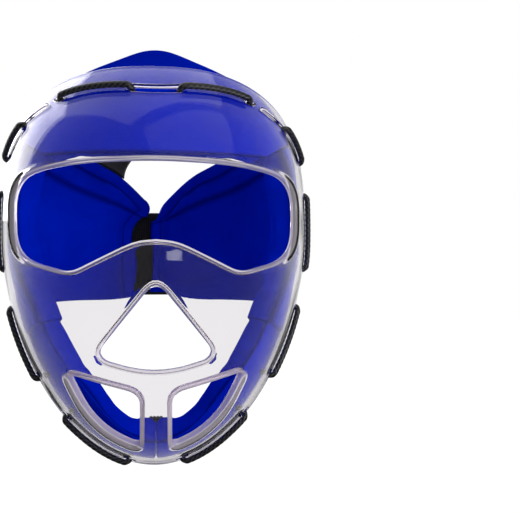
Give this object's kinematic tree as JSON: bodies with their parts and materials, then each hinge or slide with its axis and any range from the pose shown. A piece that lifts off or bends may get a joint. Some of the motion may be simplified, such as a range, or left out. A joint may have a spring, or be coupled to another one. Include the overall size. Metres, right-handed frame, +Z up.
{
  "type": "field hockey face mask",
  "caption": "Clear moulded face mask with an eye opening and vents, laced round its rim to blue padded cushions, with padded ear flaps, a wide elastic back strap and a crown strap.",
  "frame": {"origin": "on the eye line, midway between the rear edges of the shell's two sides", "axes": "+Z up, -Y the way the face looks, +X the wearer's left"},
  "size_m": [0.1916, 0.2241, 0.2371],
  "materials": {
    "clear_shell": "clear polished polycarbonate",
    "blue_fabric": "matt woven",
    "foam": "closed-cell foam",
    "lacing_cord": "braided",
    "black_elastic": "woven elastic",
    "hook_patch": "hook side of a hook-and-loop patch",
    "black_webbing": "woven webbing"
  },
  "bodies": {
    "root": {"face_shell": "clear_shell", "forehead_backing": "blue_fabric", "forehead_foam": "foam", "forehead_lining": "blue_fabric", "right_temple_backing": "blue_fabric", "right_temple_foam": "foam", "right_temple_lining": "blue_fabric", "left_temple_backing": "blue_fabric", "left_temple_foam": "foam", "left_temple_lining": "blue_fabric", "right_jaw_backing": "blue_fabric", "right_jaw_foam": "foam", "right_jaw_lining": "blue_fabric", "left_jaw_backing": "blue_fabric", "left_jaw_foam": "foam", "left_jaw_lining": "blue_fabric", "right_lace": "lacing_cord", "left_lace": "lacing_cord", "lace_knot": "lacing_cord", "crown_strap": "black_webbing"},
    "right_flap": {"right_flap_cover": "blue_fabric", "right_flap_foam": "foam", "right_flap_lining": "blue_fabric", "right_flap_hem": "blue_fabric"},
    "left_flap": {"left_flap_cover": "blue_fabric", "left_flap_foam": "foam", "left_flap_lining": "blue_fabric", "left_flap_hem": "blue_fabric", "back_strap_anchor": "black_elastic"},
    "back_strap": {"back_strap": "black_elastic", "back_strap_hook": "hook_patch"}
  },
  "joints": [
    {"name": "right_flap_swing", "type": "hinge", "parent": "root", "child": "right_flap", "pos_m": [-0.09, -0.01, 0], "axis": [0, 0, 1], "range_deg": [0, 12]},
    {"name": "left_flap_swing", "type": "hinge", "parent": "root", "child": "left_flap", "pos_m": [0.09, -0.01, 0], "axis": [0, 0, -1], "range_deg": [0, 12]},
    {"name": "strap_release", "type": "hinge", "parent": "left_flap", "child": "back_strap", "pos_m": [0.01397, 0.10546, -0.014], "axis": [0, 0, -1], "range_deg": [0, 100]}
  ],
  "couplings": [
    {"joint": "right_flap_swing", "follows": "strap_release", "ratio": 0.12},
    {"joint": "left_flap_swing", "follows": "strap_release", "ratio": 0.12}
  ]
}
